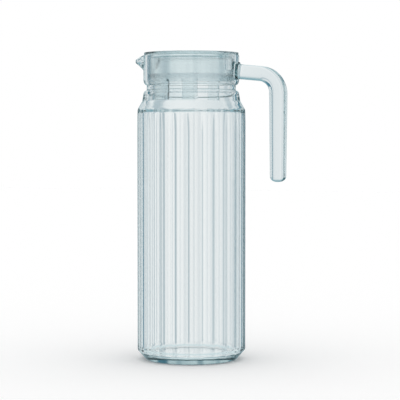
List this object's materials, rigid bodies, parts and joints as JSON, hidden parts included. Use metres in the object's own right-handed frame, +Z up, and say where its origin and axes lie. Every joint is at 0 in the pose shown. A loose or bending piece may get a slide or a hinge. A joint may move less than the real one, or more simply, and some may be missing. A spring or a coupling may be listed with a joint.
{
  "type": "glass jug with lid",
  "caption": "Tall glass fridge jug with flat vertical flutes, a necked collar, beak spout, open hook handle and a clear lid that turns to pour and lifts out.",
  "frame": {"origin": "on the jug's axis, in the plane that it stands on", "axes": "+Z up along the jug's axis, +X towards the handle, -X towards the spout"},
  "size_m": [0.1347, 0.0924, 0.261],
  "materials": {
    "glass": "pressed soda-lime glass with a faint blue-green tint, polished",
    "clear_plastic": "clear moulded plastic, polished",
    "clear_silicone": "translucent soft ring, satin"
  },
  "bodies": {
    "jug": {"glass_body": "glass", "handle": "glass"},
    "seal": {"seal_ring": "clear_silicone"},
    "lid": {"lid": "clear_plastic"}
  },
  "joints": [
    {"name": "lid_lift", "type": "slide", "parent": "jug", "child": "seal", "axis": [0, 0, 1], "range_m": [0, 0.06]},
    {"name": "lid_turn", "type": "hinge", "parent": "seal", "child": "lid", "pos_m": [0, 0, 0.241], "axis": [0, 0, 1], "continuous": true}
  ]
}
